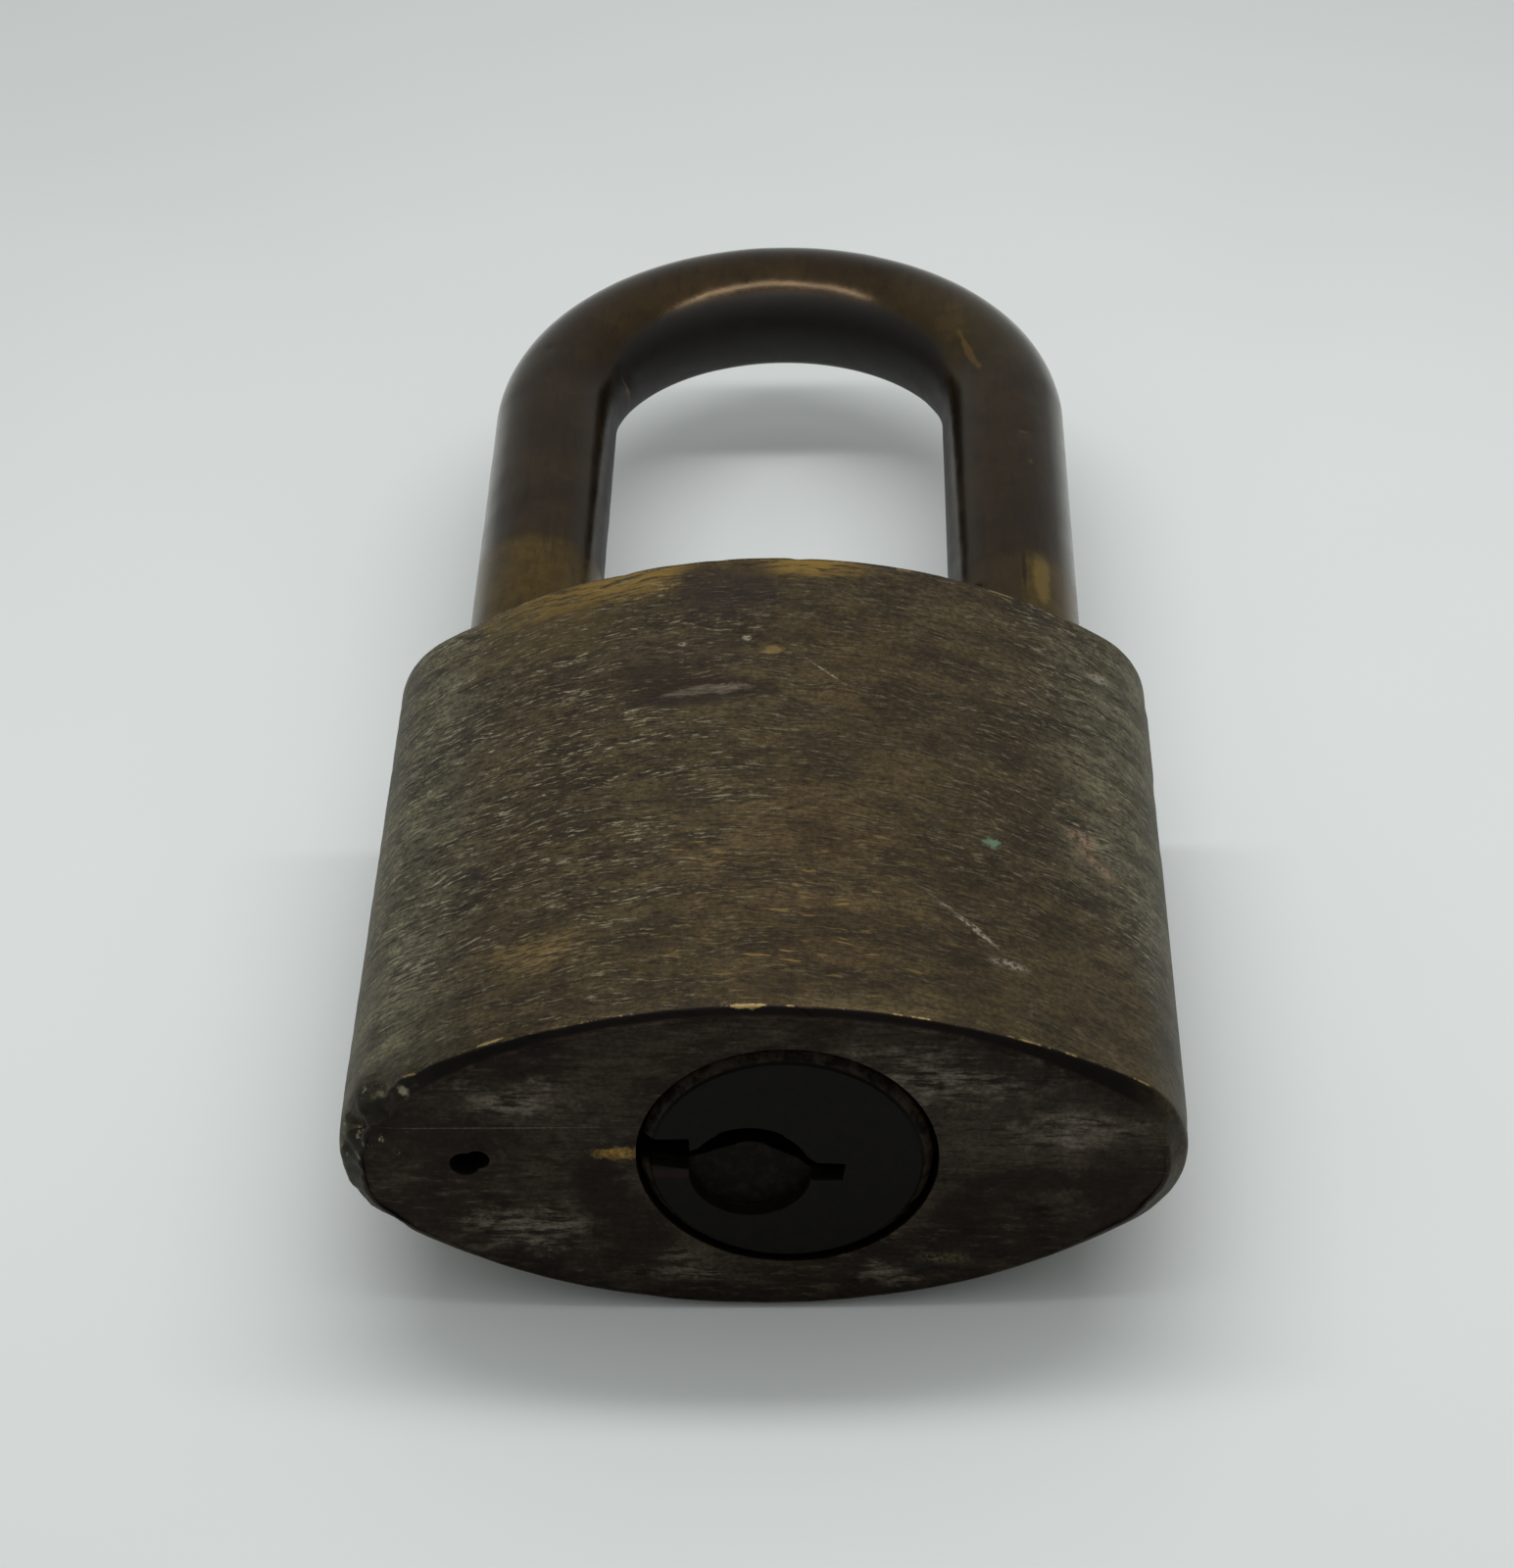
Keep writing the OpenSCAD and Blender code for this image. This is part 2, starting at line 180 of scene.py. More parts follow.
# Dings and worn places: place (x, y, z), reach across, along and through, and depth in mm
DINGS = [
    ((-4.9, 26.3, front_z(4.9)), (2.2, 0.32, 3), 0.13),
    ((-1.9, 25.8, front_z(1.9)), (1.7, 0.42, 3), 0.12),
    ((-4.68, 30.4, front_z(4.7)), (0.42, 0.42, 2), 0.16),
    ((-1.08, 30.45, front_z(1.1)), (0.28, 0.24, 2), 0.14),
    ((12.3, 15.3, front_z(12.3)), (0.4, 0.4, 2), 0.10),
    ((17.9, 17.2, 6.2), (0.9, 0.8, 2), 0.10),
    ((11.6, 7.2, front_z(11.6)), (1.5, 0.5, 2), 0.07),
    ((18.6, 33.2, 5.5), (1.0, 0.5, 2), 0.07),
    ((-20.6, 0.2, 4.6), (1.6, 1.1, 1.2), 0.75),      # the battered corner at the left tip
    ((-21.6, 0.6, 2.2), (1.0, 1.1, 1.3), 0.62),
    ((-21.9, 0.0, -0.6), (0.9, 0.9, 1.2), 0.5),
    ((-18.7, 0.2, 6.4), (1.1, 0.8, 0.9), 0.36),
    ((-15.9, 0.0, 7.7), (0.7, 0.5, 0.8), 0.16),
    ((-12.6, 0.0, 9.0), (0.5, 0.45, 0.8), 0.12),
    ((-19.9, 0.0, -4.4), (1.0, 0.6, 1.0), 0.25),
    ((2.6, 0.25, 11.0), (0.8, 0.35, 1.0), 0.14),
    ((-0.2, 0.3, 11.0), (0.5, 0.3, 1.0), 0.12),
    ((8.4, 0.1, -8.0), (1.7, 0.6, 0.5), 0.16),
    ((5.4, 0.1, -8.9), (1.0, 0.6, 0.5), 0.13),
    ((20.7, 0.1, -3.4), (0.9, 0.7, 1.3), 0.20),
    ((19.0, 0.0, -5.6), (1.2, 0.5, 0.7), 0.15),
    ((21.9, 0.4, 1.5), (0.7, 0.7, 1.4), 0.16),
    ((-8.4, BODY_L - 0.2, 9.6), (1.2, 0.6, 1.0), 0.12),
    ((-17.2, BODY_L - 0.1, 6.4), (1.0, 0.6, 1.0), 0.13),
]
CORNER_CHIPS, SMALL_DINGS = 34, 90                   # round the battered left end, and all over
for _ in range(CORNER_CHIPS):
    a = rng.uniform(-1.1, 1.35)
    place = (-TIP_X - TIP_R * math.cos(a), abs(rng.normal(0, 0.7)), TIP_R * math.sin(a))
    reach = rng.uniform(0.25, 0.7)
    DINGS.append((place, (reach, reach, reach), rng.uniform(0.1, 0.34)))
for _ in range(SMALL_DINGS):
    k = rng.integers(around)
    y = rng.uniform(1.2, BODY_L - 1.2) if rng.random() < 0.7 else rng.choice([0.3, BODY_L - 0.3])
    reach = rng.uniform(0.25, 0.9)
    place = (outline[k, 0], y, outline[k, 1])
    DINGS.append((place, (reach, reach * rng.uniform(0.5, 1.2), reach), rng.uniform(0.02, 0.08)))

FADED_OUT = 3 ** 2                                   # a ding is gone at three times its reach
depth = 0.025 + 0.05 * lumps(blank, 13, 5) * lumps(blank, 5, 6) + 0.02 * lumps(blank, 1.8, 7)
for place, reach, deep in DINGS:
    away = (((blank - place) / reach) ** 2).sum(1)
    near = away < FADED_OUT
    depth[near] += deep * np.exp(-away[near]) * (0.7 + 0.6 * lumps(blank[near], 0.9, 8))
# No wear at the caps, which are ground flush with the right edge
CAP_CLEAR, RIGHT_EDGE_X = 2.4, 18
for y in PIN_PLACES + [LATCH_Y]:
    off = np.hypot(blank[:, 1] - y, blank[:, 2] - PLUG_Z)
    keep = (off < CAP_CLEAR + 1) & (blank[:, 0] > RIGHT_EDGE_X)
    depth[keep] *= np.clip(off[keep] - CAP_CLEAR, 0, 1)
blank = blank - push * depth[:, None]
blank[:, 2] = np.maximum(blank[:, 2], -MID_Z / MM)   # the rub flat that it lies on

faces = []
for r in range(len(rings) - 1):
    for k in range(around):
        a, b = r * around + k, r * around + (k + 1) % around
        faces.append((a, b, b + around, a + around))
half = around // 2
for first, flip in ((0, True), ((len(rings) - 1) * around, False)):
    for k in range(half):
        # the innermost ring is a flat loop on the spine: front and back points lie together
        quad = [first + k, first + k + 1, first + (around - k - 1) % around,
                first + (around - k) % around]
        quad = [q for i, q in enumerate(quad) if q not in quad[:i]]
        faces.append(tuple(quad if flip else reversed(quad)))
body = new_piece("padlock_body", blank, faces, "body")
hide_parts("body")


# ---- Body: bores -----------------------------------------------------------------------------
# The holes are drilled into the blank: two for the shackle's legs, one stepped for the plug,
# and one for the latch and five for the pins from the right edge. Small ones take the pins that
# hold the shackle and the plug, and two that run together drain the keyway end.

def round_cutter(profile, centre, axis, sides=96):
    """A turned solid: profile holds (distance along the axis, radius) from one end to the other."""
    points, faces = [], []
    for along, radius in profile:
        for k in range(sides):
            a = 2 * math.pi * k / sides
            u, v = radius * math.cos(a), radius * math.sin(a)
            points.append({"x": (along, u, v), "y": (u, along, v), "z": (u, v, along)}[axis])
    for r in range(len(profile) - 1):
        for k in range(sides):
            a, b = r * sides + k, r * sides + (k + 1) % sides
            faces.append((a, b, b + sides, a + sides))
    faces.append(tuple(reversed(range(sides))))
    faces.append(tuple(range(len(points) - sides, len(points))))
    offset = {"x": (0, *centre), "y": (centre[0], 0, centre[1]), "z": (*centre, 0)}[axis]
    return new_piece("cutter", np.array(points) + offset, faces, None)


def fix_normals(piece):
    """Joins points that lie together, and turns every face outwards."""
    shape = bmesh.new()
    shape.from_mesh(piece.data)
    bmesh.ops.remove_doubles(shape, verts=shape.verts, dist=1e-7)
    bmesh.ops.recalc_face_normals(shape, faces=shape.faces)
    shape.to_mesh(piece.data)
    shape.free()


def cut(piece, cutters):
    """Cuts each closed solid out of the piece, then throws the solids away."""
    fix_normals(piece)
    for cutter in cutters:
        fix_normals(cutter)
        step = piece.modifiers.new("bore", "BOOLEAN")
        step.operation, step.solver, step.object = "DIFFERENCE", "MANIFOLD", cutter
    bpy.context.view_layer.update()
    shape = piece.evaluated_get(bpy.context.evaluated_depsgraph_get())
    finished = bpy.data.meshes.new_from_object(shape)
    piece.modifiers.clear()
    piece.data = finished
    for cutter in cutters:
        bpy.data.objects.remove(cutter)


LEG_BORE_R = 4.07
HEEL_BORE_END, TOE_BORE_END = 4.0, 28.0
HEAD_BORE_R, HEAD_BORE_END = 7.86, 2.25              # the plug's head lies low in it
BARREL_BORE_R, BARREL_BORE_END = 6.4, 28.2
CAM_BORE_R = 4.05                                    # behind the barrel, up to the latch
LATCH_BORE_R, LATCH_BORE_END = 2.55, -9.78
CHAMBER_R = 1.5
HEEL_PIN_Y, HEEL_PIN_R = 26.4, 1.26
PLUG_PIN_Y, PLUG_PIN_R = 23.4, 1.01
DRAIN_X, DRAIN_Z = -15.2, 0.4                        # between the two holes that drain it
MOUTH = 0.4
PAST = 1.0                                           # how far a cutter stands out of the blank
OUT = BODY_W / 2 + PAST


def leg_bore(x, bottom):
    mouth = [(BODY_L - MOUTH, LEG_BORE_R), (BODY_L + PAST, LEG_BORE_R + MOUTH + PAST)]
    return round_cutter([(bottom, LEG_BORE_R)] + mouth, (x, 0), "y", 128)


head_bore = [(-PAST, HEAD_BORE_R + 0.06 + PAST), (0.06, HEAD_BORE_R), (HEAD_BORE_END, HEAD_BORE_R)]
cam_bore = [(BARREL_BORE_END - 0.2, CAM_BORE_R), (LATCH_Y - 0.3, CAM_BORE_R)]
bores = [
    leg_bore(-LEG_X, HEEL_BORE_END),
    leg_bore(LEG_X, TOE_BORE_END),
    round_cutter([(-PAST, 0.86), (0.2, 0.8), (5.0, 0.8)], (-15.42, 0.24), "y", 40),
    round_cutter([(-PAST, 0.74), (0.3, 0.66), (5.0, 0.66)], (-14.78, 0.52), "y", 32),
    round_cutter(head_bore, (PLUG_X + 0.05, PLUG_Z + 0.2), "y", 160),
    round_cutter([(1.0, BARREL_BORE_R), (BARREL_BORE_END, BARREL_BORE_R)], (PLUG_X, PLUG_Z), "y", 128),
    round_cutter(cam_bore, (PLUG_X, PLUG_Z), "y"),
    round_cutter([(LATCH_BORE_END, LATCH_BORE_R), (OUT, LATCH_BORE_R)], (LATCH_Y, 0), "x"),
    round_cutter([(-LEG_X, HEEL_PIN_R), (PLUG_X, HEEL_PIN_R)], (HEEL_PIN_Y, 0), "x", 48),
    round_cutter([(-2 * HALF_T, PLUG_PIN_R), (PLUG_Z, PLUG_PIN_R)], (PLUG_X, PLUG_PIN_Y), "z", 48),
]
bores += [round_cutter([(PLUG_X, CHAMBER_R), (OUT, CHAMBER_R)], (y, PLUG_Z), "x", 64) for y in PIN_PLACES]
cut(body, bores)
smooth(body, 34)


# ---- Body: tarnished brass -------------------------------------------------------------------
# Years of handling left a brown-grey skin over brushed brass: olive where it is thin, yellow where it has
# rubbed through, and chalky grey on the edges, with a painted sheen mixed in. The bevels are near
# black with grime and painted shade.

def join(tree, slot, value):
    """Links a wire to a node's slot, or sets the slot to a number, colour or vector."""
    if isinstance(value, Wire):
        tree.links.new(value.socket, slot)
    elif value is not None:
        if slot.type == "RGBA" and len(value) == 3:
            value = (*value, 1.0)
        slot.default_value = value


class Wire:
    """One output of a shader node, which can be used in sums like a number."""

    def __init__(self, socket):
        self.socket = socket

    def math(self, operation, other=None, clamp=False):
        tree = self.socket.id_data
        made = tree.nodes.new("ShaderNodeMath")
        made.operation, made.use_clamp = operation, clamp
        join(tree, made.inputs[0], self)
        join(tree, made.inputs[1], other)
        return Wire(made.outputs[0])

    def __add__(self, other):
        return self.math("ADD", other)

    def __sub__(self, other):
        return self.math("SUBTRACT", other)

    def __mul__(self, other):
        return self.math("MULTIPLY", other)

    def __rsub__(self, other):
        return (self * -1.0).math("ADD", other)

    def __pow__(self, other):
        return self.math("POWER", other)

    def __abs__(self):
        return self.math("ABSOLUTE")

    __radd__ = __add__
    __rmul__ = __mul__

    def at_least(self, other):
        return self.math("MAXIMUM", other)

    def cut_off(self):
        """The value, kept between 0 and 1."""
        return self.math("ADD", 0.0, clamp=True)


def seen(red, green, blue):
    """A colour written as it is seen, from 0 to 255, as the light values a shader wants."""
    return tuple(c / 12.92 if c <= 0.04045 else ((c + 0.055) / 1.055) ** 2.4
                 for c in (red / 255, green / 255, blue / 255))


class Nodes:
    """The shader nodes of a material or of the room."""

    def __init__(self, owner):
        owner.use_nodes = True
        self.tree = owner.node_tree
        self.tree.nodes.clear()

    def node(self, kind, settings, sockets, out=0):
        """Adds a node; settings go on the node itself, and sockets holds its values and links."""
        made = self.tree.nodes.new("ShaderNode" + kind)
        for name, value in settings.items():
            setattr(made, name, value)
        for name, value in sockets.items():
            join(self.tree, made.inputs[name], value)
        if made.outputs:
            return Wire(made.outputs[out])


class Finish(Nodes):
    """A surface finish, worked out from places on the lock in mm."""

    SMALL_SPOT = 1.6                                 # in mm; a spot smaller than this has a finer rim

    def __init__(self, name):
        self.material = bpy.data.materials.new(name)
        super().__init__(self.material)
        place = self.node("TexCoord", {}, {}, "Object")
        lift = (0.0, -FACE_Y, -MID_Z)
        moved = self.node("VectorMath", {"operation": "ADD"}, {0: place, 1: lift})
        self.place = self.node("VectorMath", {"operation": "SCALE"}, {0: moved, "Scale": 1 / MM})
        self.x, self.y, self.z = (self.node("SeparateXYZ", {}, {0: self.place}, k) for k in range(3))

    def rise(self, value, low, high, start=0.0, end=1.0):
        """Runs smoothly from start to end as the value goes from low to high."""
        sockets = {"Value": value, "From Min": low, "From Max": high, "To Min": start, "To Max": end}
        return self.node("MapRange", {"interpolation_type": "SMOOTHSTEP"}, sockets)

    def stretch(self, x, y, z):
        """Places on the lock, squeezed or drawn out along each direction."""
        return self.node("VectorMath", {"operation": "MULTIPLY"}, {0: self.place, 1: (x, y, z)})

    def grain(self, place=None, scale=1.0, detail=3.0, rough=0.55):
        sockets = {"Vector": place or self.place, "Scale": scale, "Detail": detail, "Roughness": rough}
        return self.node("TexNoise", {"noise_dimensions": "3D"}, sockets, "Fac")

    def blend(self, share, under, over, way="MIX"):
        settings = {"data_type": "RGBA", "blend_type": way}
        return self.node("Mix", settings, {0: share, 6: under, 7: over}, 2)

    def away_from(self, centre_x, centre_z, x=None):
        """The distance from a line along the body; a given x stands in for the place's own."""
        across = (self.x if x is None else x) - centre_x
        return (across ** 2.0 + (self.z - centre_z) ** 2.0) ** 0.5

    def spot(self, centre, reach, ragged, edge=0.35, turn=0.0):
        """A ragged patch on the lock, 1 inside and 0 outside; reach is its half size along x, y, z."""
        away = self.node("VectorMath", {"operation": "SUBTRACT"}, {0: self.place, 1: centre})
        if turn:
            turned = {"Vector": away, "Angle": math.radians(turn)}
            away = self.node("VectorRotate", {"rotation_type": "Z_AXIS"}, turned)
        size = tuple(1 / r for r in reach)
        away = self.node("VectorMath", {"operation": "MULTIPLY"}, {0: away, 1: size})
        away = self.node("VectorMath", {"operation": "LENGTH"}, {0: away}, "Value")
        rim = self.crumbly if sorted(reach)[1] < self.SMALL_SPOT else self.ragged
        away = away + (rim - 0.5) * (2.4 * ragged)
        return self.rise(away, 1.0 + edge, 1.0 - edge)

    def spots(self, *places):
        """Several spots together; each place is what spot() takes, in its order."""
        return sum(self.spot(*place) for place in places)

    def finish(self, colour, rough, metal, height, gloss=0.5):
        """Joins the colour, roughness, metal share and height (in mm) to the surface."""
        normal = self.node("Bump", {}, {"Strength": 1.0, "Distance": MM, "Height": height})
        sockets = {"Base Color": colour, "Roughness": rough, "Metallic": metal, "Normal": normal,
                   "Specular IOR Level": gloss}
        surface = self.node("BsdfPrincipled", {}, sockets)
        self.node("OutputMaterial", {}, {"Surface": surface})
        return self.material


def brushing(f):
    """Short fine strokes across the body, in wavy rows: plainest on the left, and rubbed faint
    towards the keyway end and its right corner."""
    x, y, z = f.x, f.y, f.z
    sway = (f.grain(scale=0.2, detail=1.0) - 0.5) * 1.3 + (f.grain(scale=0.9, detail=0.0) - 0.5) * 0.25
    f.row = f.node("CombineXYZ", {}, {0: x * 0.17, 1: y + sway + x * 0.05, 2: z * 0.17})
    f.fine = f.grain(f.row, scale=6.0, detail=4.0, rough=0.7)
    f.broad = f.grain(f.row, scale=1.3, detail=3.0, rough=0.6)
    f.dashes = f.rise(f.grain(f.row, scale=3.4, detail=2.0, rough=0.5), 0.62, 0.72)
    f.handled = f.spot((17.0, 4.0, 6.0), (7.0, 10.0, 9), 0.6, edge=0.5)
    plain = f.rise(x, 4.0, -9.0) * 0.8 + f.rise(x, 9.0, 16.0) * 0.45 + 0.35
    f.plain = plain * (1.0 - f.handled * 0.5) * f.rise(y, 2.0, 14.0, 0.5, 1.0)


def brushed_skin(f):
    """The brown-grey skin on the body's round faces, with the strokes of the brushing in it."""
    cloud = f.grain(scale=0.12, detail=4.0, rough=0.6)
    patches = f.grain(f.stretch(0.5, 1.0, 0.5), scale=0.5, detail=5.0, rough=0.65)
    colour = f.blend(f.rise(cloud, 0.38, 0.62), seen(62, 51, 31), seen(73, 62, 41))
    colour = f.blend(f.rise(f.mottle, 0.5, 0.72) * 0.5, colour, seen(72, 62, 34))
    red = f.spots(((2.5, 12.0, 11.0), (5.5, 9.0, 6), 1.0, 0.7),
                  ((5.6, 30.0, 10.7), (5.5, 4.0, 6), 1.0, 0.7))
    front = f.rise(f.z, 0.5, 3.0)
    colour = f.blend(red.cut_off() * front * 0.3, colour, seen(70, 51, 28))
    # pale grey on the flanks: partly a chalky film, partly painted sheen
    colour = f.blend(f.chalk * 0.6, colour, seen(112, 111, 94))
    colour = f.blend(f.rise(f.broad, 0.45, 0.66) * 0.45, colour, seen(45, 36, 24))
    cloudy = f.blend(f.rise(patches, 0.36, 0.64), (0.6, 0.58, 0.54), (1.18, 1.17, 1.1))
    colour = f.blend(1.0, colour, cloudy, "MULTIPLY")
    colour = f.blend(f.rise(f.fine, 0.48, 0.38) * (f.plain * 0.4 + 0.45), colour, seen(28, 21, 13))
    strokes = f.rise(f.fine, 0.55, 0.62) * f.rise(f.broad, 0.38, 0.58)
    colour = f.blend((strokes * f.plain * 0.75).cut_off(), colour, seen(136, 129, 106))
    colour = f.blend(0.85, colour, f.pitting, "MULTIPLY")

    # thin skin along the shackle end, where the yellow metal comes through in strokes
    streaky = f.rise(f.grain(f.row, scale=2.4, detail=4.0, rough=0.7), 0.4, 0.54)
    thin = f.spots(((-9.6, 38.4, 9.5), (6.2, 3.0, 9), 0.5, 0.5),
                   ((1.9, 38.2, 11.0), (3.6, 2.0, 9), 0.5, 0.5))
    colour = f.blend(thin.cut_off() * (streaky * 0.85 + 0.05), colour, seen(128, 102, 46))
    olive = f.spot((-12.6, 34.8, 9.0), (4.0, 3.2, 9), 1.0, edge=0.7)
    colour = f.blend(olive * 0.4, colour, seen(84, 68, 30))
    dark_patch = f.spot((-2.4, 35.6, 11.0), (2.9, 3.4, 9), 0.45, edge=0.3)
    dark_patch = dark_patch + f.spot((-5.4, 29.6, 10.8), (4.0, 1.8, 9), 0.9, edge=0.6) * 0.6
    return f.blend(dark_patch.cut_off() * 0.62, colour, seen(36, 27, 23))


def marks(f, colour):
    """Single marks on the front: a hollow, places rubbed to yellow, stains and scuffs."""
    broken = f.rise(f.fine, 0.42, 0.55) * 0.7 + 0.2

    # a long shallow hollow, dark round its rim and pale inside
    rim = f.spot((-3.9, 26.0, 10.8), (4.0, 1.3, 9), 0.5, edge=0.4)
    colour = f.blend(rim * 0.85, colour, seen(34, 24, 16))
    bed = f.spot((-3.3, 26.0, 10.8), (2.0, 0.4, 9), 1.2)
    colour = f.blend(bed * (broken * 0.7 + 0.1), colour, seen(104, 94, 78))

    # places rubbed through to yellow
    yellow = f.spot((-11.3, 6.6, 9.0), (2.0, 1.2, 3), 1.2, edge=0.7) * broken * 0.7
    yellow = yellow + f.spot((0.4, 29.3, 11.0), (0.5, 0.36, 3), 1.0) * 0.8
    lower = f.spot((1.2, 9.0, 11.0), (8.0, 8.0, 6), 0.8, edge=0.6)
    yellow = yellow + lower * f.dashes * 0.9
    colour = f.blend(yellow.cut_off() * 0.65, colour, seen(134, 110, 62))

    # verdigris, a copper-pink patch and pale scuffs
    verdigris = f.spot((12.3, 15.3, 8.9), (0.46, 0.36, 2), 1.3)
    colour = f.blend(verdigris * 0.65, colour, seen(104, 134, 108))
    pink = f.spots(((17.3, 18.2, 6.5), (1.0, 0.7, 2.5), 1.5),
                   ((18.0, 16.6, 6.0), (1.5, 0.4, 2.5), 1.3, 0.35, 40))
    colour = f.blend(pink.cut_off() * f.crumbs * 0.9, colour, seen(138, 112, 94))
    scuffs = f.spots(((19.0, 33.5, 5.5), (0.9, 0.5, 2), 1.5),
                     ((12.9, 6.0, 8.7), (1.1, 0.35, 2), 1.6),
                     ((10.9, 8.3, 9.4), (2.2, 0.18, 2), 0.8, 0.35, 40),
                     ((3.3, 27.6, 11.0), (1.5, 0.06, 2), 0.3, 0.35, 44),
                     ((-1.08, 30.45, 11.0), (0.28, 0.26, 2), 0.4),
                     ((-4.7, 30.4, 10.8), (0.3, 0.2, 2), 1.0))
    dust = f.spots(((-19.0, 9.0, 5.5), (1.6, 2.2, 3), 1.5, 0.8),
                   ((20.5, 12.5, 4.0), (1.0, 3.6, 3), 1.5, 0.8))
    scuffs = scuffs + dust * f.rise(f.fine, 0.48, 0.6) * 0.8
    return f.blend(scuffs.cut_off() * (f.crumbs * 0.8 + 0.05), colour, seen(140, 132, 114))


def keyway_end(f):
    """The keyway end: scuffed across, with grey smears, a gold mark and brown stains."""
    smear = f.grain(f.stretch(0.35, 1.0, 0.8), scale=0.8, detail=4.0, rough=0.6)
    film = f.grain(f.stretch(0.3, 1.0, 0.7), scale=0.34, detail=5.0, rough=0.6)
    # the end face is painted darker than the front: partly its own tarnish, partly painted shade
    face = f.blend(f.rise(f.mottle, 0.35, 0.65), seen(24, 16, 8), seen(37, 28, 18))
    face = f.blend(f.rise(f.rubbed, 0.53, 0.66) * 0.5, face, seen(84, 73, 56))
    worn = f.spots(((12.5, 0, 3.0), (8.0, 9, 3.6), 1.0, 0.7), ((-12.0, 0, 3.2), (6.0, 9, 2.2), 1.0, 0.7))
    face = f.blend(worn.cut_off() * 0.5, face, seen(66, 60, 50))
    face = f.blend(f.rise(film, 0.44, 0.62) * 0.6, face, seen(70, 60, 48))
    face = f.blend(f.rise(f.rubbed, 0.48, 0.36) * 0.7, face, seen(20, 13, 7))
    pale = f.spots(((-11.5, 0, -4.6), (4.0, 9, 1.5), 1.3, 0.6),
                   ((-13.0, 0, 4.9), (2.6, 9, 1.2), 1.3, 0.6),
                   ((9.0, 0, 6.6), (4.5, 9, 1.6), 1.2, 0.7),
                   ((6.6, 0, -8.2), (1.7, 9, 0.9), 0.7),
                   ((16.6, 0, 2.4), (3.0, 9, 1.2), 1.2, 0.6),
                   ((-6.0, 0, -7.4), (3.4, 9, 1.1), 1.3, 0.5))
    smears = pale.cut_off() * f.rise(smear, 0.38, 0.56) * f.rise(f.rubbed, 0.38, 0.58)
    face = f.blend(smears * 0.9, face, seen(108, 100, 88))
    stain = f.spots(((10.4, 0, -3.4), (1.6, 9, 2.0), 0.8, 0.4),
                    ((14.0, 0, -1.2), (3.6, 9, 1.0), 0.8, 0.4),
                    ((18.4, 0, -2.4), (2.0, 9, 3.4), 1.0, 0.6),
                    ((-8.6, 0, -1.6), (1.2, 9, 2.6), 0.8, 0.5),
                    ((-16.0, 0, 2.2), (4.0, 9, 1.7), 1.1, 0.6),
                    ((-6.8, 0, -5.4), (2.0, 9, 3.5), 1.0, 0.5))
    face = f.blend(stain.cut_off() * 0.9, face, seen(28, 15, 6))
    gold_mark = f.spot((-7.3, 0, 1.0), (1.3, 9, 0.4), 1.1)
    face = f.blend(gold_mark * (f.crumbs * 0.5 + 0.5), face, seen(146, 117, 60))
    near_bevel = f.rise(abs(f.z) + abs(f.x) * 0.42, 10.6, 11.6)
    face = f.blend(near_bevel * 0.35, face, seen(20, 12, 7))
    crumb = f.spot((9.4, 0, -7.1), (1.5, 9, 0.5), 1.8)
    face = f.blend(crumb * f.crumbs * 0.7, face, seen(96, 90, 62))
    scratch = f.spot((-14.0, 0, 2.9), (5.6, 9, 0.05), 0.3)
    face = f.blend(scratch * 0.35, face, seen(116, 108, 94))
    return f.blend(0.8, face, f.pitting, "MULTIPLY")


def edges(f, colour, face, ends):
    """The bevels hold red-brown grime and painted shade, and the corners are bright where they get knocked.
    """
    x, y = f.x, f.y
    share = f.rise(abs(x), SHARE_FROM, SHARE_TO, CREST_SHARE, TIP_SHARE)
    bevels = f.rise(y - share * 0.84, 0.08, -0.08) + f.rise(y, BODY_L - 0.4, BODY_L - 0.3) * 0.5
    # painted shade with grime: the bevels are darkened, most of all on the left
    bevel_grime_and_shade = f.rise(x, -22.0, -18.0, 0.8, 1.0) * f.rise(x, 22.0, 18.5, 0.45, 1.0)
    colour = f.blend(bevels.cut_off() * bevel_grime_and_shade, colour, seen(14, 8, 5))
    colour = f.blend(ends, colour, face)
    nicks = f.grain(scale=0.7, detail=5.0, rough=0.75)
    knocked = f.rise(abs(y - share * 0.86), 0.08, 0.02) * f.rise(nicks, 0.54, 0.62)
    knocked = knocked + f.spots(((-0.5, 0.56, 11.0), (0.9, 0.12, 2), 1.0),
                                ((-13.6, 0.8, 8.4), (0.7, 0.1, 2), 1.0))
    knocked = knocked + f.rise(abs(y - (BODY_L - 0.36)), 0.1, 0.03) * f.rise(nicks, 0.52, 0.62) * 0.7
    colour = f.blend(knocked.cut_off() * 0.75, colour, seen(158, 136, 88))

    # the battered corner at the left tip
    smudge = f.spot((-19.6, 1.9, 5.2), (2.6, 1.2, 4), 1.0, edge=0.7)
    colour = f.blend(smudge * 0.6, colour, seen(40, 36, 27))
    tip = f.spot((-20.4, 0.4, 3.6), (2.0, 1.4, 3.2), 0.9)
    colour = f.blend(tip * f.rise(nicks, 0.4, 0.52) * 0.8, colour, seen(28, 24, 14))
    chip = f.spot((-18.4, 0.3, 5.3), (0.45, 0.4, 0.22), 0.8)
    bright = tip * f.rise(nicks, 0.6, 0.66) + chip * 0.8
    return f.blend(bright.cut_off() * 0.8, colour, seen(150, 146, 120))


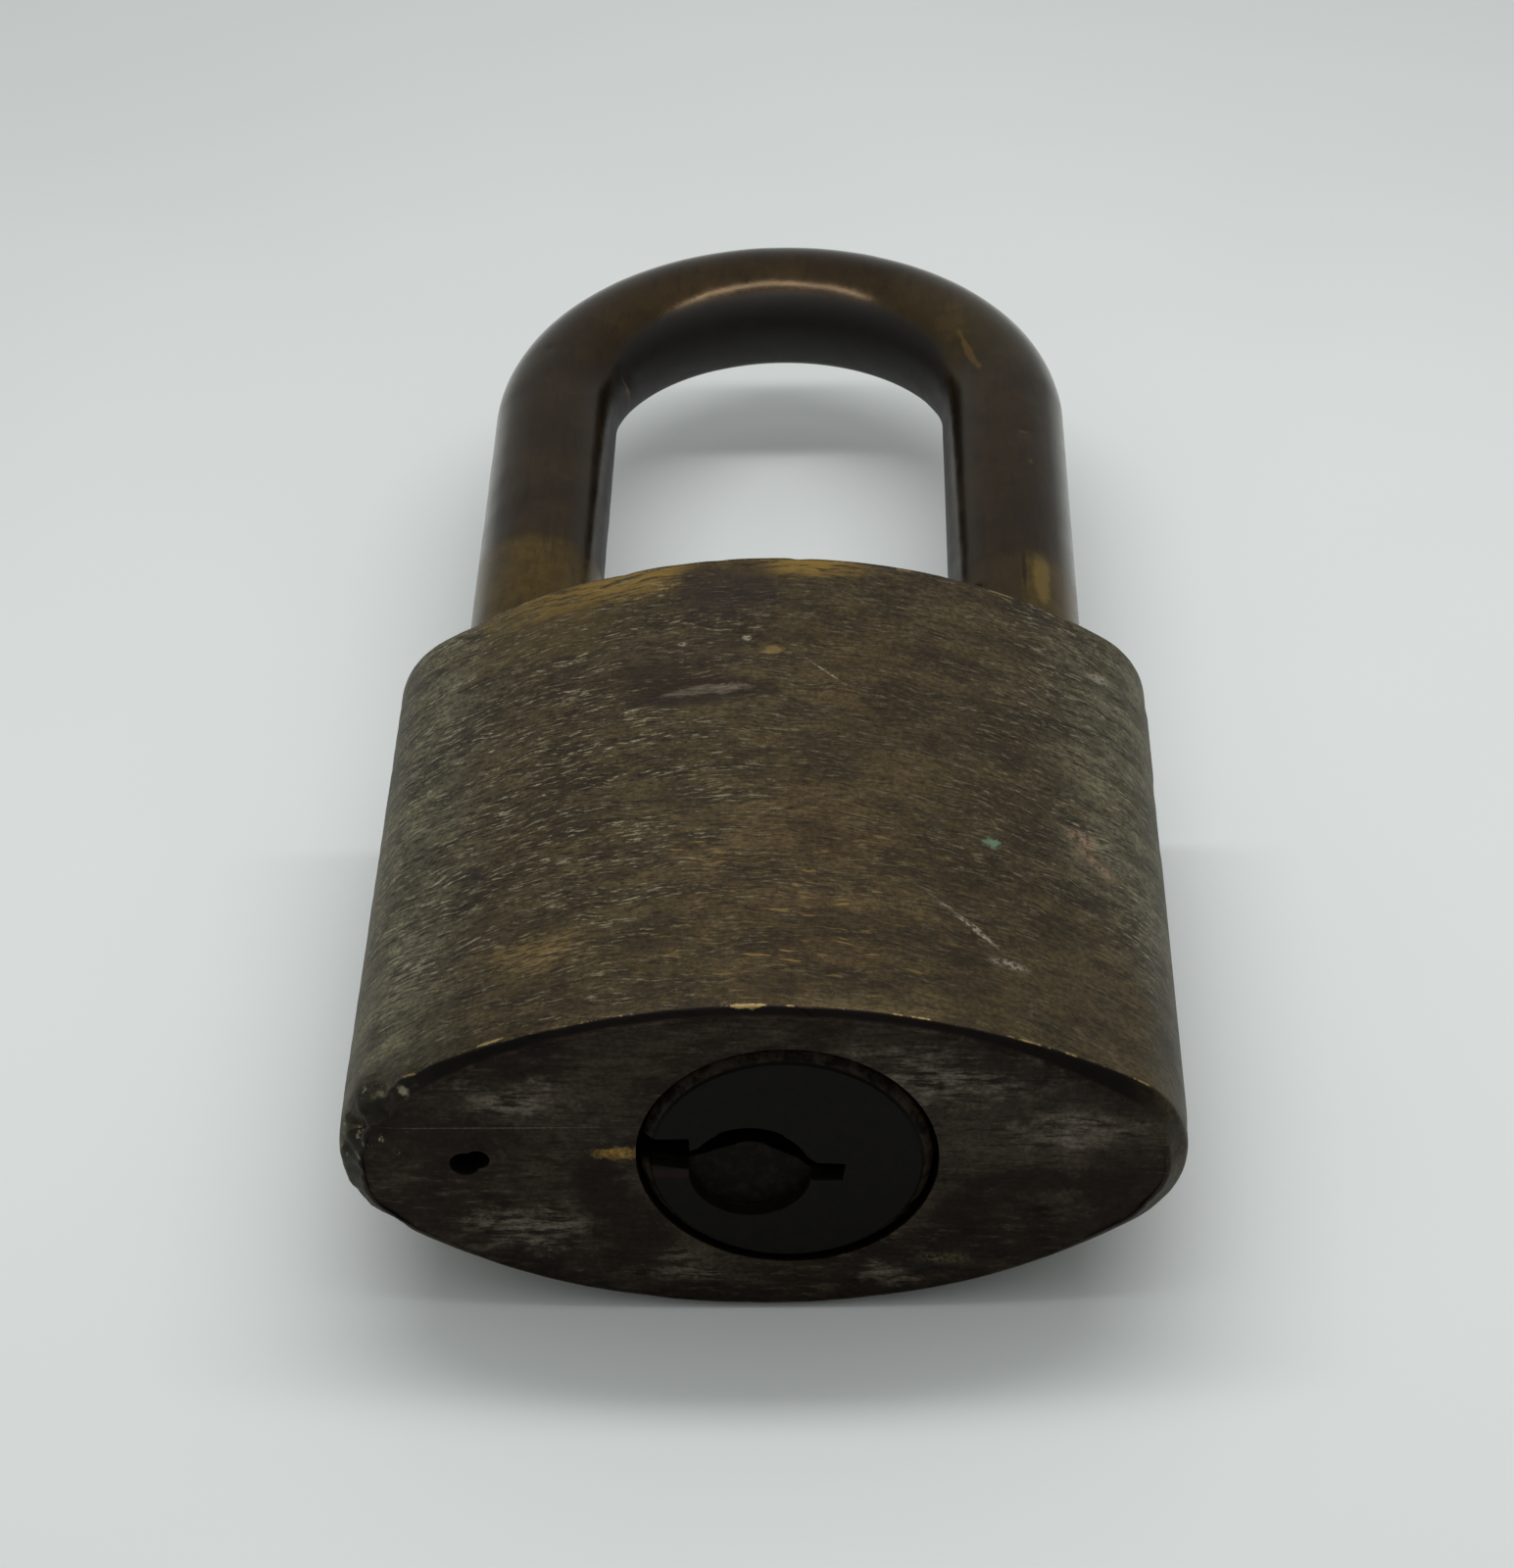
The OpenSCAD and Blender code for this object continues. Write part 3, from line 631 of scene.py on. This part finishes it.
def inside_the_bores(f, colour):
    """The bores are painted dark as shade, and the leg bores show some brass."""
    y, painted_bore_shade = f.y, seen(22, 17, 12)
    from_plug = f.away_from(PLUG_X, PLUG_Z)
    # painted shade on the walls of the plug's bores and in the drain holes
    bored = f.rise(from_plug, HEAD_BORE_R + 0.34, HEAD_BORE_R + 0.19)
    colour = f.blend(bored * f.rise(y, 0.1, 0.3) * f.rise(y, 33.5, 33.0), colour, painted_bore_shade)
    drain = f.rise(f.away_from(DRAIN_X, DRAIN_Z), 1.25, 1.05)
    colour = f.blend(drain * f.rise(y, 0.05, 0.3) * f.rise(y, 6.0, 5.0), colour, painted_bore_shade)
    leg_bored = f.rise(f.away_from(LEG_X, 0.0, abs(f.x)), LEG_BORE_R + 0.43, LEG_BORE_R + 0.23)
    leg_bored = leg_bored * f.rise(y, BODY_L - 0.1, BODY_L - 0.4) * f.rise(y, 3.0, 4.0)
    brass = f.blend(f.rise(f.mottle, 0.4, 0.6), seen(58, 45, 26), seen(92, 74, 40))
    return f.blend(leg_bored, colour, brass)


def tarnished_brass():
    f = Finish("tarnished_brass")
    f.ragged = f.grain(scale=0.9, detail=5.0, rough=0.65)
    f.crumbly = f.grain(scale=2.6, detail=5.0, rough=0.7)
    f.crumbs = f.rise(f.crumbly, 0.42, 0.58)
    f.mottle = f.grain(scale=0.5, detail=5.0, rough=0.7)
    brushing(f)
    pores = f.rise(f.grain(scale=3.4, detail=4.0, rough=0.7), 0.36, 0.64)
    f.pitting = f.blend(pores, (0.62, 0.6, 0.56), (1.3, 1.3, 1.28))
    # the flanks' grey: a chalky film with painted sheen in it, less where the lock is handled
    f.chalk = f.rise(abs(f.x), 13.5, 20.5) * f.rise(f.mottle, 0.2, 0.6) * (1.0 - f.handled * 0.9)
    across = f.node("CombineXYZ", {}, {0: f.x * 0.2, 1: f.y, 2: f.z + f.x * 0.02})
    f.rubbed = f.grain(across, scale=2.6, detail=5.0, rough=0.7)
    ends = (f.rise(f.y, 0.25, 0.06) + f.rise(f.y, BODY_L - 0.12, BODY_L - 0.04)).cut_off()

    colour = marks(f, brushed_skin(f))
    colour = edges(f, colour, keyway_end(f), ends)
    colour = inside_the_bores(f, colour)
    metal = 0.5 + f.dashes * 0.2 - f.chalk * 0.3
    rough = 0.46 + (f.fine - 0.5) * 0.4 + f.chalk * 0.12 + ends * 0.16
    height = f.fine * (f.plain * 0.035 + 0.015) + f.mottle * 0.03 + f.rubbed * ends * 0.04
    height = height + f.grain(scale=9.0, detail=2.0) * 0.006
    return f.finish(colour, rough.cut_off(), metal.cut_off(), height, gloss=0.18)


brass_skin = tarnished_brass()
body.data.materials.clear()
body.data.materials.append(brass_skin)


# ---- Shackle ---------------------------------------------------------------------------------
# One round rod bent to a bow. Where it stands out of the locked body it has gone dark brown and
# glossy; the lengths that sit inside the body stay yellow, and show now that it has popped up.

BOW_Y = 67.1
HEEL_Y, TOE_Y = 21.5, 38.5
GROOVE = (24.8, 28.0)
GROOVE_R = 2.6
FLAT_X, FLAT_END = -12.05, 38.0
NOTCH = (40.1, 45.7)
NOTCH_X, NOTCH_FILLET = 12.98, 1.3
ROD_SIDES = 96

stations = [(HEEL_Y, 0.6), (HEEL_Y, ROD_R - 0.7), (HEEL_Y + 0.06, ROD_R - 0.44), (HEEL_Y + 0.5, ROD_R)]
stations += [(y, ROD_R) for y in np.arange(22.4, GROOVE[0] - 0.1, 0.5)]
stations += [(GROOVE[0] - 0.03, ROD_R), (GROOVE[0], GROOVE_R + 0.1), (GROOVE[0] + 0.1, GROOVE_R)]
stations += [(y, GROOVE_R) for y in np.arange(25.2, GROOVE[1] - 0.2, 0.5)]
stations += [(GROOVE[1] - 0.1, GROOVE_R), (GROOVE[1], GROOVE_R + 0.1), (GROOVE[1] + 0.03, ROD_R)]
stations += [(y, ROD_R) for y in np.arange(28.4, FLAT_END - 0.1, 0.5)]
stations += [(FLAT_END - 0.02, ROD_R), (FLAT_END + 0.02, ROD_R)]
stations += [(y, ROD_R) for y in np.arange(38.4, BOW_Y, 0.4)]
heel_leg = [(np.array([-LEG_X, y, 0]), np.array([-1.0, 0, 0]), r) for y, r in stations]
bow = []
for a in np.linspace(0, math.pi, 120):
    out = np.array([-math.cos(a), math.sin(a), 0])
    bow.append((np.array([0, BOW_Y, 0]) + out * LEG_X, out, ROD_R))
stations = [(y, ROD_R) for y in np.arange(BOW_Y - 0.4, NOTCH[1] + 0.1, -0.4)]
stations += [(NOTCH[1] + 0.02, ROD_R), (NOTCH[1] - 0.02, ROD_R)]
stations += [(y, ROD_R) for y in np.arange(NOTCH[1] - 0.1, NOTCH[1] - NOTCH_FILLET, -0.1)]
stations += [(y, ROD_R) for y in np.arange(NOTCH[1] - NOTCH_FILLET, NOTCH[0] + 0.1, -0.3)]
stations += [(NOTCH[0] + 0.02, ROD_R), (NOTCH[0] - 0.02, ROD_R), (TOE_Y + 1.25, ROD_R)]
stations += [(TOE_Y + 1.1, ROD_R - 0.07), (TOE_Y + 0.6, ROD_R - 0.6), (TOE_Y + 0.1, ROD_R - 1.08),
             (TOE_Y + 0.02, ROD_R - 1.25), (TOE_Y, ROD_R - 1.5), (TOE_Y, 0.6)]
toe_leg = [(np.array([LEG_X, y, 0]), np.array([1.0, 0, 0]), r) for y, r in stations]

rod = []
for centre, out, radius in heel_leg + bow + toe_leg:
    for k in range(ROD_SIDES):
        a = 2 * math.pi * k / ROD_SIDES
        rod.append((centre, out * math.cos(a) + np.array([0, 0, math.sin(a)]), radius))
rod_centres = np.array([c for c, n, r in rod])
rod_out = np.array([n for c, n, r in rod])
rod_radius = np.array([r for c, n, r in rod])
rod_points = rod_centres + rod_out * rod_radius[:, None]
wear = 0.01 + 0.03 * lumps(rod_points, 11, 21) * lumps(rod_points, 4, 22)
NICKS = [((-10.2, 71.1, 1.3), (0.7, 0.3, 0.9), 0.25), ((12.5, 70.0, 3.5), (0.5, 1.4, 1), 0.04),
         ((-15.0, 71.0, 3.9), (0.5, 0.4, 1), 0.05), ((15.8, 60.8, 3.8), (0.4, 0.5, 1), 0.05)]
for place, reach, deep in NICKS:
    wear += deep * np.exp(-(((rod_points - place) / reach) ** 2).sum(1))
showing = rod_points[:, 1] > BODY_L + 0.3
rod_points = rod_points - rod_out * (wear * showing)[:, None]
heel_side = (rod_points[:, 0] < 0) & (rod_points[:, 1] > GROOVE[0]) & (rod_points[:, 1] < FLAT_END)
rod_points[heel_side, 0] = np.minimum(rod_points[heel_side, 0], FLAT_X)
toe_side = (rod_points[:, 0] > 0) & (rod_points[:, 1] > NOTCH[0]) & (rod_points[:, 1] < NOTCH[1])
round_in = np.clip((rod_points[toe_side, 1] - NOTCH[1]) / NOTCH_FILLET + 1, 0, 1)
notch_x = NOTCH_X - NOTCH_FILLET * (1 - np.sqrt(1 - round_in ** 2))
rod_points[toe_side, 0] = np.maximum(rod_points[toe_side, 0], notch_x)
ring_count = len(rod_points) // ROD_SIDES
rod_faces = []
for r in range(ring_count - 1):
    for k in range(ROD_SIDES):
        a, b = r * ROD_SIDES + k, r * ROD_SIDES + (k + 1) % ROD_SIDES
        rod_faces.append((a, a + ROD_SIDES, b + ROD_SIDES, b))
rod_faces.append(tuple(range(ROD_SIDES)))
rod_faces.append(tuple(reversed(range((ring_count - 1) * ROD_SIDES, ring_count * ROD_SIDES))))
shackle = new_piece("shackle_rod", rod_points, rod_faces, "shackle")
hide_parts("shackle")
fix_normals(shackle)
smooth(shackle, 40)


def bronzed_rod():
    f = Finish("bronzed_rod")
    x, y = f.x, f.y
    f.ragged = f.grain(scale=0.9, detail=5.0, rough=0.65)
    f.crumbly = f.grain(scale=2.6, detail=5.0, rough=0.7)
    cloud = f.grain(scale=0.16, detail=4.0, rough=0.6)
    mottle = f.grain(scale=0.8, detail=5.0, rough=0.65)
    along = f.grain(f.stretch(1.0, 0.16, 1.0), scale=2.4, detail=3.0, rough=0.6)
    colour = f.blend(f.rise(cloud, 0.35, 0.65), seen(43, 31, 16), seen(54, 41, 21))
    colour = f.blend(f.rise(mottle, 0.52, 0.75) * 0.3, colour, seen(70, 54, 30))
    colour = f.blend(f.rise(along, 0.5, 0.3) * 0.4, colour, seen(28, 20, 14))
    olive = f.spot((13.5, 74.0, 2.6), (6.0, 6.0, 4.0), 0.8, edge=0.7)
    colour = f.blend(olive * 0.45, colour, seen(66, 56, 30))

    # the inner side of the bow and legs is painted nearly black as shade
    from_middle = (x ** 2.0 + (y - BOW_Y).at_least(0.0) ** 2.0) ** 0.5
    inside = f.rise(from_middle - f.rise(y, BOW_Y, BOW_Y + 7.0, 0.0, 0.8), LEG_X - 3.2, LEG_X - 3.9)
    colour = f.blend(inside * 0.9, colour, seen(10, 7, 5))

    # yellow bands, the left one higher, with a soft edge that wavers
    waver = (f.grain(scale=0.5, detail=3.0) - 0.5) * 1.6
    left = f.rise(x, 0.0, -1.0)
    edge = 47.4 + left * 2.4 + (abs(x) - LEG_X) * 0.12
    band = f.rise(y + waver, edge + 0.9, edge - 0.7)
    gold = f.blend(f.rise(mottle, 0.35, 0.7), seen(70, 53, 14), seen(84, 66, 24))
    gold = f.blend(f.rise(along, 0.5, 0.3) * 0.5, gold, seen(48, 36, 16))
    # the inner half of the right leg's band, with its notch, is painted darker as shade
    inner = f.rise(x, 15.4, 14.9) * f.rise(x, 5.0, 8.0)
    gold = f.blend(inner * 0.75, gold, seen(46, 34, 18))
    bright = f.spot((16.3, 45.8, 3.4), (0.5, 2.6, 4), 0.5)
    gold = f.blend(bright * 0.7, gold, seen(122, 100, 46))
    score = f.spot((15.25, 46.6, 3.9), (0.14, 2.4, 3), 0.3)
    gold = f.blend(score * 0.8, gold, seen(30, 20, 10))
    colour = f.blend(band, colour, gold)

    # a worn streak and specks on the bow, and a bright nick on its inner side
    streak = f.spot((12.5, 70.6, 3.5), (0.2, 2.2, 3), 0.8, turn=-16)
    specks = f.spots(((15.8, 60.8, 3.8), (0.28, 0.12, 3), 1.2), ((16.1, 57.7, 3.8), (0.12, 0.2, 3), 1.2))
    thin = f.spot((11.7, 74.0, 3.4), (0.9, 1.9, 3), 1.5)
    streak = streak + specks * 0.6 + thin * 0.3
    colour = f.blend(streak.cut_off() * 0.55, colour, seen(106, 80, 38))
    nick = f.spot((-10.2, 70.9, 1.3), (0.3, 0.2, 2), 0.7)
    colour = f.blend(nick * 0.5, colour, seen(110, 88, 60))

    rough = 0.2 + (mottle - 0.5) * 0.2 + band * 0.08 + (along - 0.5) * 0.1
    rough = rough + inside * (1.0 - band) * 0.3
    metal = 0.75 - inside * 0.45
    height = mottle * 0.008 + along * 0.006 + f.grain(scale=7.0, detail=2.0) * 0.003
    return f.finish(colour, rough.cut_off(), metal, height, gloss=0.42)


shackle.data.materials.clear()
shackle.data.materials.append(bronzed_rod())


# ---- Plug ------------------------------------------------------------------------------------
# The cylinder that the key turns: a round brass head and barrel, broached right through with the
# keyway. Its face is nearly black, with a round dish that has corroded.

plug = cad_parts["plug"]


def dark_plug():
    f = Finish("dark_plug")
    y = f.y
    f.ragged = f.crumbly = f.grain(scale=1.6, detail=5.0, rough=0.65)
    mottle = f.grain(scale=1.3, detail=5.0, rough=0.7)
    away = f.away_from(PLUG_X, PLUG_Z)
    rings = f.node("CombineXYZ", {}, {0: away * 3.0, 1: y * 0.3})
    turned = f.grain(rings, scale=2.0, detail=3.0)
    colour = f.blend(f.rise(mottle, 0.4, 0.7), seen(15, 13, 10), seen(21, 18, 15))
    colour = f.blend(f.rise(turned, 0.55, 0.7) * 0.2, colour, seen(34, 31, 28))
    ring = f.rise(away, 7.1, 7.2) * f.rise(away, 7.62, 7.5) * f.rise(y, 0.75, 0.5)
    colour = f.blend(f.rise(away, 7.1, 7.3), colour, seen(16, 12, 9))
    colour = f.blend(ring * f.rise(mottle, 0.38, 0.62) * 0.7, colour, seen(58, 48, 38))
    colour = f.blend(f.rise(abs(away - 7.04), 0.1, 0.04), colour, seen(7, 6, 5))
    dish = f.rise(y, 0.6, 0.78) * f.rise(y, 1.2, 0.9)
    colour = f.blend(dish * f.rise(mottle, 0.46, 0.62) * 0.5, colour, seen(36, 30, 23))
    strip = f.spot((-4.7, 0, -0.5), (1.3, 2, 0.28), 1.0)
    colour = f.blend(strip * 0.4, colour, seen(46, 28, 19))
    # deeper in, the dish's bottom and the keyway are painted near black as shade
    colour = f.blend(f.rise(y, 0.84, 0.95), colour, seen(9, 8, 7))
    rough = 0.42 + (mottle - 0.5) * 0.3 + dish * 0.2
    height = mottle * (0.01 + dish * 0.05) + turned * 0.004
    return f.finish(colour, rough.cut_off(), 0.0, height, gloss=0.05)


plug.data.materials.clear()
plug.data.materials.append(dark_plug())


# ---- Inner works and caps --------------------------------------------------------------------
# The pins, latch and spring follower are turned from clean metal, which only shows in an open
# bore. The caps, and the pin that holds the plug, are pressed in and ground flush, so they wear
# the same skin as the body.

def clean_metal(name, light, dark, rough_at):
    f = Finish(name)
    cloud = f.grain(scale=0.7, detail=4.0, rough=0.6)
    turned = f.grain(f.stretch(3.0, 3.0, 0.4), scale=2.2, detail=3.0)
    colour = f.blend(f.rise(cloud, 0.35, 0.7), dark, light)
    rough = rough_at + (turned - 0.5) * 0.3
    return f.finish(colour, rough.cut_off(), 0.9, turned * 0.006 + cloud * 0.004)


works_brass = clean_metal("bright_brass", seen(188, 152, 76), seen(140, 110, 54), 0.32)
works_steel = clean_metal("spring_steel", seen(150, 150, 150), seen(96, 96, 98), 0.3)
for name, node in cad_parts.items():
    if name in ("body", "shackle", "plug"):
        continue
    metal = works_steel if "spring" in name else works_brass
    if "cap" in name or name == "plug_retaining_pin":
        metal = brass_skin
    node.data.materials.clear()
    node.data.materials.append(metal)


# ---- Springs ---------------------------------------------------------------------------------
# Coils of round spring steel wire: one pops the shackle up, one throws the latch, and one drives
# each pair of pins. Each stands on the body at one end and pushes a moving piece with the other.

WIRE_SIDES, STEPS_A_TURN = 12, 32
AXES = {"x": (0, 1, 2), "y": (1, 2, 0)}


def wound(name, node, axis, wire_r, turns, towards):
    """A coil that fills the node's box; its foot and head towards + or - are worked out but not used."""
    low, high = ((np.array(corner) - np.array([0, FACE_Y, MID_Z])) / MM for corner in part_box(node))
    middle, half = (low + high) / 2, (high - low) / 2
    along, across, over = AXES[axis]
    coil_r = half[over] - wire_r
    steps = round(turns * STEPS_A_TURN)
    turn = 2 * math.pi * np.arange(steps + 1) / STEPS_A_TURN
    round_wire = 2 * math.pi * np.arange(WIRE_SIDES) / WIRE_SIDES
    turn, round_wire = (grid.ravel() for grid in np.meshgrid(turn, round_wire, indexing="ij"))
    points = np.zeros((len(turn), 3))
    rise = np.interp(turn, (0, turn[-1]), (wire_r - half[along], half[along] - wire_r))
    points[:, along] = rise + wire_r * np.sin(round_wire)
    points[:, across] = (coil_r + wire_r * np.cos(round_wire)) * np.cos(turn)
    points[:, over] = (coil_r + wire_r * np.cos(round_wire)) * np.sin(turn)
    faces = []
    for ring in range(steps):
        for k in range(WIRE_SIDES):
            a, b = ring * WIRE_SIDES + k, ring * WIRE_SIDES + (k + 1) % WIRE_SIDES
            faces.append((a, b, b + WIRE_SIDES, a + WIRE_SIDES))
    faces.append(tuple(reversed(range(WIRE_SIDES))))
    faces.append(tuple(range(steps * WIRE_SIDES, (steps + 1) * WIRE_SIDES)))
    spring = new_piece(name, points + middle, faces, None)
    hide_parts(node)
    fix_normals(spring)
    smooth(spring, 60)
    spring.data.materials.append(works_steel)
    foot, head = middle.copy(), middle.copy()
    foot[along] -= towards * half[along]
    head[along] += towards * half[along]
    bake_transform(spring)


wound("shackle_coil", "shackle_spring", "y", 0.4, 4.5, 1)
wound("latch_coil", "latch_spring", "x", 0.2, 6, 1)
for i in range(1, len(PIN_PLACES) + 1):
    wound(f"pin_coil_{i}", f"pin_spring_{i}", "x", 0.15, 8, -1)


# ---- Floor, light and camera -----------------------------------------------------------------
# A pale board that runs off on all sides. Two narrow strip lamps hang over the lock, one long
# and one short, in a pale room that is brightest straight above.

REACH = 3
corners = [(-REACH, -REACH, 0), (REACH, -REACH, 0), (REACH, REACH, 0), (-REACH, REACH, 0)]
floor_mesh = bpy.data.meshes.new("floor")
floor_mesh.from_pydata(corners, [], [(0, 1, 2, 3)])
floor = bpy.data.objects.new("floor", floor_mesh)
bpy.context.scene.collection.objects.link(floor)


def pale_board():
    f = Finish("pale_board")
    cloud = f.grain(scale=0.012, detail=3.0)
    tooth = f.grain(scale=1.6, detail=3.0)
    colour = f.blend(f.rise(cloud, 0.3, 0.7), seen(218, 221, 219), seen(222, 225, 223))
    return f.finish(colour, 0.6, 0.0, tooth * 0.003)


floor_mesh.materials.append(pale_board())


def lamp(name, place, aim, width, height, watts):
    light = bpy.data.lights.new(name, "AREA")
    light.shape, light.size, light.size_y = "RECTANGLE", width, height
    light.energy = watts
    holder = bpy.data.objects.new(name, light)
    bpy.context.scene.collection.objects.link(holder)
    holder.location = place
    holder.rotation_euler = (Vector(aim) - Vector(place)).to_track_quat("-Z", "Y").to_euler()


lamp("strip_lamp", (0.01, 0.006, 0.157), (0.01, 0.006, 0), 0.2, 0.018, 0.126)
lamp("front_strip", (0.004, -0.063, 0.157), (0.004, -0.03, 0), 0.07, 0.01, 0.012)
world = bpy.data.worlds.new("room")
bpy.context.scene.world = world
room = Nodes(world)
over = room.node("TexCoord", {}, {}, "Generated")
beyond, above = (room.node("SeparateXYZ", {}, {0: over}, k) for k in (1, 2))
lit = (beyond * 0.14 + above ** 3.0 * 0.56 + 0.35).at_least(0.06)
glow = room.node("Background", {}, {"Color": (0.97, 1.0, 1.0), "Strength": lit})
room.node("OutputWorld", {}, {"Surface": glow})

camera_data = bpy.data.cameras.new("camera")
camera_data.lens, camera_data.sensor_width = 83.79, 36.0
camera_data.clip_start, camera_data.clip_end = 0.01, 20.0
camera = bpy.data.objects.new("camera", camera_data)
bpy.context.scene.collection.objects.link(camera)
# The camera's own directions, and where it stands
right = (0.99949, 0.01837, -0.02617)
up = (0.00811, 0.64614, 0.76319)
back = (0.03093, -0.76301, 0.64566)
stand = Matrix((right, up, back)).transposed().to_4x4()
stand.translation = Vector((5.786, -174.503, 148.381)) * MM
camera.matrix_world = stand
bpy.context.scene.camera = camera
bpy.context.scene.view_settings.view_transform = "Standard"
